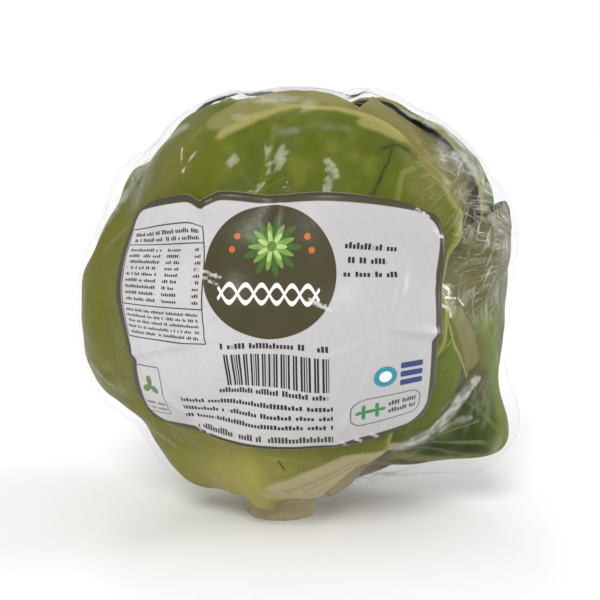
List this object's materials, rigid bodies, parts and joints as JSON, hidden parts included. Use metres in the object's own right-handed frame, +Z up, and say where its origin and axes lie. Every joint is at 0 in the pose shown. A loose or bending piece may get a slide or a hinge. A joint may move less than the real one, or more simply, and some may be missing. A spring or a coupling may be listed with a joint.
{
  "type": "green cabbage",
  "caption": "Small round head of green cabbage on its cut stalk, wrapped in clear stretch film with a paper label on its front; stands as food or market produce.",
  "frame": {"origin": "centre of the stalk's cut face, which the head stands on", "axes": "+Z up out of the head's crown, the label faces -Y, +X to the right of the label"},
  "size_m": [0.1116, 0.1029, 0.108],
  "materials": {
    "stalk_flesh": "dried cut flesh",
    "heart_leaf": "pale waxy leaf",
    "inner_leaf": "waxy leaf",
    "outer_leaf": "waxy leaf, ribbed",
    "stretch_film": "clear glossy stretch film, wrinkled",
    "label_paper": "coated paper, printed, creased"
  },
  "bodies": {
    "root": {"stalk": "stalk_flesh", "heart": "heart_leaf", "leaf_crown": "inner_leaf", "leaf_left": "inner_leaf", "leaf_back": "inner_leaf", "leaf_right": "inner_leaf", "leaf_back_left": "outer_leaf", "leaf_back_right": "outer_leaf", "leaf_low_right": "outer_leaf", "leaf_front": "outer_leaf", "film": "stretch_film", "label": "label_paper"}
  },
  "joints": []
}
